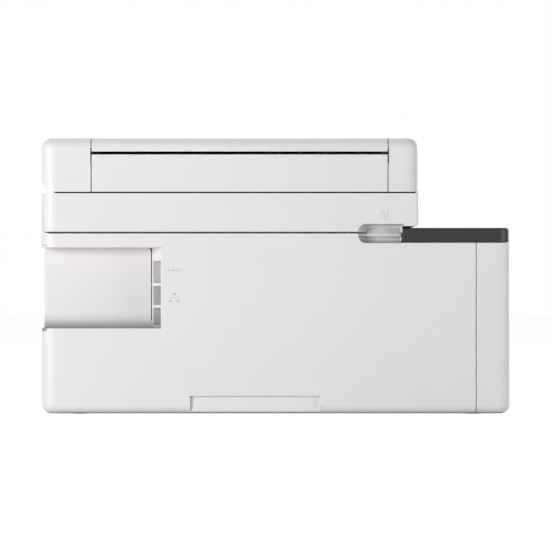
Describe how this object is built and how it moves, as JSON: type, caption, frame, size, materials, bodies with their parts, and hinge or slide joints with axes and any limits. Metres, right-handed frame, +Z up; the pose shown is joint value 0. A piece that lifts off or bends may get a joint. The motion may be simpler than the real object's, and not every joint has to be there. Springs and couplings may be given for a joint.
{
  "type": "inkjet printer",
  "caption": "Ink-tank inkjet printer with a lifting flatbed scanner, a document-feeder lid, paper drawer, sliding output tray, hinged ink lid and a cable bay recessed in its back.",
  "frame": {"origin": "centre of the footprint, on the table the feet stand on", "axes": "+X is the printer's right seen from its front, +Y its back where the sockets are, +Z up"},
  "size_m": [0.434, 0.36, 0.2555],
  "materials": {
    "body_white": "fine-textured off-white ABS",
    "deck_dark": "fine-textured dark grey ABS",
    "black_plastic": "black moulded plastic",
    "grey_plastic": "grey moulded plastic",
    "rubber": "soft black rubber",
    "steel": "bright folded steel",
    "clear": "clear",
    "glass": "clear float glass",
    "tank_clear": "translucent polypropylene",
    "screen": "dark glossy panel",
    "foam": "white foam-backed film",
    "board": "green circuit board",
    "cap_black": "black cap",
    "cap_cyan": "cyan cap",
    "cap_magenta": "magenta cap",
    "cap_yellow": "yellow cap"
  },
  "bodies": {
    "printer_base": {"base_tray": "grey_plastic", "rubber_feet": "rubber", "rear_and_side_shell": "body_white", "ink_side_cover": "body_white", "upper_frame": "body_white", "deck_screws": "steel", "port_bay_panel": "body_white", "usb_socket": "steel", "ethernet_socket": "black_plastic", "power_inlet": "black_plastic", "ink_deck": "deck_dark", "ink_tanks": "tank_clear", "ink_level_window": "clear", "carriage_chassis": "steel", "platen": "black_plastic", "service_station": "black_plastic", "mainboard": "board", "power_supply": "black_plastic", "carriage_motor": "steel", "carriage_belt": "rubber", "feed_motor": "steel", "hinge_brackets": "steel"},
    "ink_lid_body": {"ink_lid": "deck_dark"},
    "cap_black": {"ink_cap_black": "cap_black"},
    "cap_cyan": {"ink_cap_cyan": "cap_cyan"},
    "cap_magenta": {"ink_cap_magenta": "cap_magenta"},
    "cap_yellow": {"ink_cap_yellow": "cap_yellow"},
    "drawer": {"input_tray": "body_white"},
    "guide_left": {"width_guide_left": "grey_plastic"},
    "guide_right": {"width_guide_right": "grey_plastic"},
    "out_leaf": {"output_tray": "grey_plastic"},
    "out_extension": {"output_extension": "grey_plastic"},
    "out_stop": {"output_stop": "grey_plastic"},
    "panel": {"control_panel": "deck_dark", "touch_screen": "screen"},
    "power_key": {"power_button": "grey_plastic"},
    "carriage": {"print_carriage": "black_plastic", "print_heads": "steel"},
    "pulley_drive": {"drive_pulley": "grey_plastic"},
    "pulley_idler": {"idler_pulley": "grey_plastic"},
    "pinion": {"motor_pinion": "grey_plastic"},
    "gear_idler": {"idler_gear": "grey_plastic"},
    "roller_feed": {"feed_roller": "rubber"},
    "roller_pinch": {"pinch_roller": "rubber"},
    "roller_eject": {"eject_roller": "rubber"},
    "roller_pickup": {"pickup_roller": "rubber"},
    "scanner_unit": {"scanner_housing": "body_white", "scanner_top_frame": "body_white", "scanner_glass": "glass", "scan_rail": "steel", "hinge_tower": "body_white", "hinge_pins": "steel"},
    "sensor_bar": {"scan_bar": "black_plastic"},
    "lid": {"lid_base": "body_white", "lid_pad": "foam", "adf_bin": "body_white"},
    "feeder_cover": {"adf_cover": "body_white"},
    "feeder_flap": {"adf_flap": "body_white"},
    "roller_adf_feed": {"adf_feed_roller": "rubber"},
    "roller_adf_pickup": {"adf_pickup_roller": "rubber"}
  },
  "joints": [
    {"name": "scanner_lift", "type": "hinge", "parent": "printer_base", "child": "scanner_unit", "pos_m": [0, 0.173, 0.1885], "axis": [-1, 0, 0], "range_deg": [0, 30]},
    {"name": "lid_lift", "type": "hinge", "parent": "scanner_unit", "child": "lid", "pos_m": [0, 0.174, 0.224], "axis": [-1, 0, 0], "range_deg": [0, 75]},
    {"name": "feeder_cover_lift", "type": "hinge", "parent": "lid", "child": "feeder_cover", "pos_m": [0, -0.15935, 0.24935], "axis": [1, 0, 0], "range_deg": [0, 60]},
    {"name": "feeder_flap_lift", "type": "hinge", "parent": "lid", "child": "feeder_flap", "pos_m": [0, -0.11335, 0.24935], "axis": [1, 0, 0], "range_deg": [0, 60]},
    {"name": "adf_feed_spin", "type": "hinge", "parent": "lid", "child": "roller_adf_feed", "pos_m": [0, -0.146, 0.2282], "axis": [1, 0, 0], "continuous": true},
    {"name": "adf_pickup_spin", "type": "hinge", "parent": "lid", "child": "roller_adf_pickup", "pos_m": [0, -0.122, 0.2292], "axis": [1, 0, 0], "continuous": true},
    {"name": "scan_slide", "type": "slide", "parent": "scanner_unit", "child": "sensor_bar", "axis": [0, 1, 0], "range_m": [0, 0.3]},
    {"name": "ink_lid_lift", "type": "hinge", "parent": "printer_base", "child": "ink_lid_body", "pos_m": [0, -0.059, 0.1696], "axis": [-1, 0, 0], "range_deg": [0, 80]},
    {"name": "cap_black_lift", "type": "hinge", "parent": "printer_base", "child": "cap_black", "pos_m": [-0.201, -0.085, 0.144], "axis": [-1, 0, 0], "range_deg": [0, 75]},
    {"name": "cap_cyan_lift", "type": "hinge", "parent": "printer_base", "child": "cap_cyan", "pos_m": [-0.1825, -0.085, 0.144], "axis": [-1, 0, 0], "range_deg": [0, 75]},
    {"name": "cap_magenta_lift", "type": "hinge", "parent": "printer_base", "child": "cap_magenta", "pos_m": [-0.164, -0.085, 0.144], "axis": [-1, 0, 0], "range_deg": [0, 75]},
    {"name": "cap_yellow_lift", "type": "hinge", "parent": "printer_base", "child": "cap_yellow", "pos_m": [-0.1455, -0.085, 0.144], "axis": [-1, 0, 0], "range_deg": [0, 75]},
    {"name": "drawer_slide", "type": "slide", "parent": "printer_base", "child": "drawer", "axis": [0, -1, 0], "range_m": [0, 0.24]},
    {"name": "guide_left_slide", "type": "slide", "parent": "drawer", "child": "guide_left", "axis": [1, 0, 0], "range_m": [0, 0.045]},
    {"name": "guide_right_slide", "type": "slide", "parent": "drawer", "child": "guide_right", "axis": [-1, 0, 0], "range_m": [0, 0.045]},
    {"name": "output_slide", "type": "slide", "parent": "printer_base", "child": "out_leaf", "axis": [0, -1, 0], "range_m": [0, 0.12]},
    {"name": "extension_slide", "type": "slide", "parent": "out_leaf", "child": "out_extension", "axis": [0, -1, 0], "range_m": [0, 0.1]},
    {"name": "stop_lift", "type": "hinge", "parent": "out_extension", "child": "out_stop", "pos_m": [0, -0.17, 0.06], "axis": [1, 0, 0], "range_deg": [0, 85]},
    {"name": "panel_tilt", "type": "hinge", "parent": "printer_base", "child": "panel", "pos_m": [0, -0.173, 0.155], "axis": [-1, 0, 0], "range_deg": [0, 40]},
    {"name": "power_press", "type": "slide", "parent": "panel", "child": "power_key", "axis": [0, 1, 0], "range_m": [0, 0.0012], "stiffness_N_per_m": 300},
    {"name": "carriage_slide", "type": "slide", "parent": "printer_base", "child": "carriage", "axis": [-1, 0, 0], "range_m": [0, 0.24]},
    {"name": "drive_pulley_spin", "type": "hinge", "parent": "printer_base", "child": "pulley_drive", "pos_m": [0.19, 0.08, 0.128], "axis": [0, -1, 0], "continuous": true},
    {"name": "idler_pulley_spin", "type": "hinge", "parent": "printer_base", "child": "pulley_idler", "pos_m": [-0.108, 0.08, 0.128], "axis": [0, -1, 0], "continuous": true},
    {"name": "feed_spin", "type": "hinge", "parent": "printer_base", "child": "roller_feed", "pos_m": [0, 0.055, 0.082], "axis": [1, 0, 0], "continuous": true},
    {"name": "pinion_spin", "type": "hinge", "parent": "printer_base", "child": "pinion", "pos_m": [-0.124, 0.03707, 0.06407], "axis": [1, 0, 0], "continuous": true},
    {"name": "idler_gear_spin", "type": "hinge", "parent": "printer_base", "child": "gear_idler", "pos_m": [-0.124, 0.015, 0.082], "axis": [1, 0, 0], "continuous": true},
    {"name": "pinch_spin", "type": "hinge", "parent": "printer_base", "child": "roller_pinch", "pos_m": [0, 0.055, 0.0934], "axis": [1, 0, 0], "continuous": true},
    {"name": "eject_spin", "type": "hinge", "parent": "printer_base", "child": "roller_eject", "pos_m": [0, -0.025, 0.082], "axis": [1, 0, 0], "continuous": true},
    {"name": "pickup_spin", "type": "hinge", "parent": "printer_base", "child": "roller_pickup", "pos_m": [0, 0.085, 0.06], "axis": [1, 0, 0], "continuous": true}
  ],
  "couplings": [
    {"joint": "adf_pickup_spin", "follows": "adf_feed_spin", "ratio": 1.125},
    {"joint": "guide_right_slide", "follows": "guide_left_slide", "ratio": 1},
    {"joint": "drive_pulley_spin", "follows": "carriage_slide", "rad_per_m": 133.33},
    {"joint": "idler_pulley_spin", "follows": "carriage_slide", "rad_per_m": 133.33},
    {"joint": "pinion_spin", "follows": "feed_spin", "ratio": -4},
    {"joint": "idler_gear_spin", "follows": "feed_spin", "ratio": -1},
    {"joint": "pinch_spin", "follows": "feed_spin", "ratio": -1.75},
    {"joint": "eject_spin", "follows": "feed_spin", "ratio": 1},
    {"joint": "pickup_spin", "follows": "feed_spin", "ratio": -1.1765}
  ]
}
